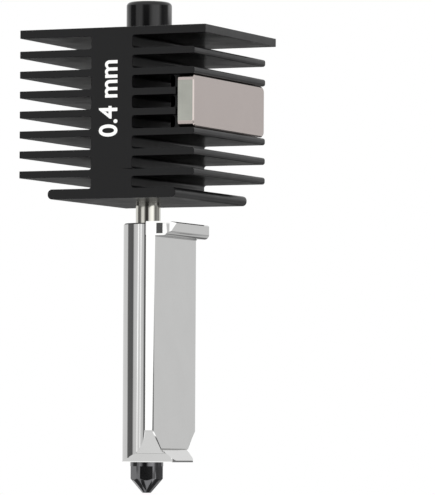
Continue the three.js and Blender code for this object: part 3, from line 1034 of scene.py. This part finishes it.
@dataclass(frozen=True)
class Lamp:
    """One square soft lamp that faces the object.

    Attributes:
        name: The lamp's name.
        place: Where it hangs.
        size: Its width.
        power: Its power in watts.
    """

    name: str
    place: tuple[float, float, float]
    size: float
    power: float

    def hang(self) -> None:
        """Hangs the lamp, unseen by shiny metal."""
        data = bpy.data.lights.new(self.name, "AREA")
        data.energy = self.power
        data.size = self.size
        lamp = bpy.data.objects.new(self.name, data)
        bpy.context.scene.collection.objects.link(lamp)
        turn = (-Vector(self.place)).to_track_quat("-Z", "Y").to_matrix().to_4x4()
        lamp.matrix_world = Matrix.Translation(self.place) @ turn
        lamp.visible_glossy = False


LAMPS = (
    Lamp("key", (-0.30, -0.45, 0.42), size=0.35, power=0.5),
    Lamp("fill", (0.50, -0.25, 0.25), size=0.35, power=0.27),
    Lamp("back", (0.15, 0.55, 0.40), size=0.40, power=0.27),
)


@dataclass
class Studio:
    """Camera, lamps, floor and a tent that the shiny metal reflects.

    Attributes:
        azimuth: The camera's place round the object in degrees, from the front towards +X.
        distance: From the filament axis to the camera.
        height: The camera's height over the nozzle's tip.
        aim_right: How far to the right of the axis the camera aims.
        aim_height: How far over the nozzle's tip it aims.
        lean: The camera's roll in degrees.
        lens: Focal length in millimetres, on the stock sensor.
        near: The nearest that the camera sees.
        drop: How far the floor lies under the nozzle's tip.
        floor_size: Width of the floor.
        floor_sides: How many sides its outline has.
        ambient: How bright the tent is to matte surfaces.
        shine: How bright its whitest panels are in a shiny surface.
    """

    azimuth: float = 25
    distance: float = 544.5 * MM
    height: float = 4.6 * MM
    aim_right: float = 8.4 * MM
    aim_height: float = 29.65 * MM
    lean: float = 0.28
    lens: float = 328
    near: float = 10 * MM
    drop: float = 420 * MM
    floor_size: float = 8
    floor_sides: int = 96
    ambient: float = 1.15
    shine: float = 1.6

    def build(self) -> None:
        """Sets up the whole studio."""
        self.camera()
        self.floor()
        self.world()
        for lamp in LAMPS:
            lamp.hang()
        bpy.context.scene.view_settings.view_transform = "Standard"

    def camera(self) -> None:
        """Places the camera where the photograph was taken from."""
        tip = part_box("nozzle")[0].z
        turn = math.radians(self.azimuth)
        axis = Vector((axis_x(), 0, 0))
        towards = Vector((math.sin(turn), -math.cos(turn), 0))
        right = Vector((math.cos(turn), math.sin(turn), 0))
        place = axis + towards * self.distance + Vector((0, 0, tip + self.height))
        aim = axis + right * self.aim_right + Vector((0, 0, tip + self.aim_height))
        data = bpy.data.cameras.new("camera")
        data.lens = self.lens
        data.clip_start = self.near
        camera = bpy.data.objects.new("camera", data)
        bpy.context.scene.collection.objects.link(camera)
        look = (aim - place).to_track_quat("-Z", "Y").to_matrix().to_4x4()
        roll = Matrix.Rotation(math.radians(self.lean), 4, "Z")
        camera.matrix_world = Matrix.Translation(place) @ look @ roll
        bpy.context.scene.camera = camera

    def floor(self) -> None:
        """Lays the pale floor well under the nozzle, where shiny metal doesn't show it."""
        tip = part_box("nozzle")[0].z
        bpy.ops.object.select_all(action="DESELECT")
        bpy.ops.mesh.primitive_circle_add(vertices=self.floor_sides, radius=self.floor_size / 2,
                                          fill_type="NGON", location=(0, 0, tip - self.drop))
        floor = bpy.context.object
        floor.name = "floor"
        settle()
        floor.data.materials.append(PALE_BOARD.material())
        floor.visible_glossy = False

    def world(self) -> None:
        """Hangs the tent: white to the camera, rings to shiny metal, and soft light to the rest."""
        world = bpy.data.worlds.new("tent")
        bpy.context.scene.world = world
        world.use_nodes = True
        tree = world.node_tree
        tree.nodes.clear()
        tent = self.tent(tree)
        path = add_node(tree, "ShaderNodeLightPath").outputs
        white = (1, 1, 1, 1)
        soft = add_node(tree, "ShaderNodeBackground", {"Color": white, "Strength": self.ambient})
        shine = add_node(tree, "ShaderNodeBackground", {"Strength": self.shine}, {"Color": tent})
        plain = add_node(tree, "ShaderNodeBackground", {"Color": white, "Strength": 1})
        seen = add_node(tree, "ShaderNodeMath", {"operation": "MAXIMUM"},
                        {0: path["Is Camera Ray"], 1: path["Is Transmission Ray"]})
        lit = add_node(tree, "ShaderNodeMixShader", None,
                       {0: path["Is Glossy Ray"], 1: soft.outputs[0], 2: shine.outputs[0]})
        whole = add_node(tree, "ShaderNodeMixShader", None,
                         {0: seen.outputs[0], 1: lit.outputs[0], 2: plain.outputs[0]})
        add_node(tree, "ShaderNodeOutputWorld", None, {"Surface": whole.outputs[0]})

    def tent(self, tree: bpy.types.NodeTree) -> bpy.types.NodeSocket:
        """Looks up the ring and the panel that lie in a direction.

        Args:
            tree: The world's node tree.

        Returns:
            The brightness there, as a colour.
        """
        way = add_node(tree, "ShaderNodeTexCoord").outputs["Generated"]
        parts = add_node(tree, "ShaderNodeSeparateXYZ", None, {"Vector": way}).outputs
        angle = add_node(tree, "ShaderNodeMath", {"operation": "ARCTAN2"},
                         {0: parts["Y"], 1: parts["X"]}).outputs[0]
        # Angles count from +X and azimuths from the front, a quarter turn before it. The tent's
        # seam is behind the object, half a turn from the camera.
        seam = math.radians(self.azimuth - QUARTER_TURN - HALF_TURN)
        share = add_node(tree, "ShaderNodeMath",
                         {"operation": "MULTIPLY_ADD", 1: 1 / math.tau, 2: -seam / math.tau},
                         {0: angle}).outputs[0]
        bearing = add_node(tree, "ShaderNodeMath", {"operation": "FRACT"}, {0: share}).outputs[0]
        tent = LEVEL_RING.glow(tree, bearing)
        for ring in OTHER_RINGS:
            taken = add_node(tree, "ShaderNodeMapRange",
                             {"From Min": ring.starts, "From Max": ring.whole},
                             {"Value": parts["Z"]}).outputs[0]
            tent = mixed(tree, taken, tent, ring.glow(tree, bearing))
        return tent


def main() -> None:
    """Builds the studio and every piece of the hotend, in order."""
    logging.basicConfig(level=logging.INFO, format="%(name)s: %(message)s")
    Studio().build()
    pieces = [Heatsink(), Magnet(), InletCollar(), ThroatTube(), HeaterBlock(), Nozzle()]
    made = [piece for part in pieces for piece in part.build()]
    LOG.info("%d pieces dressed", len(made))


if __name__ == "__main__":
    main()
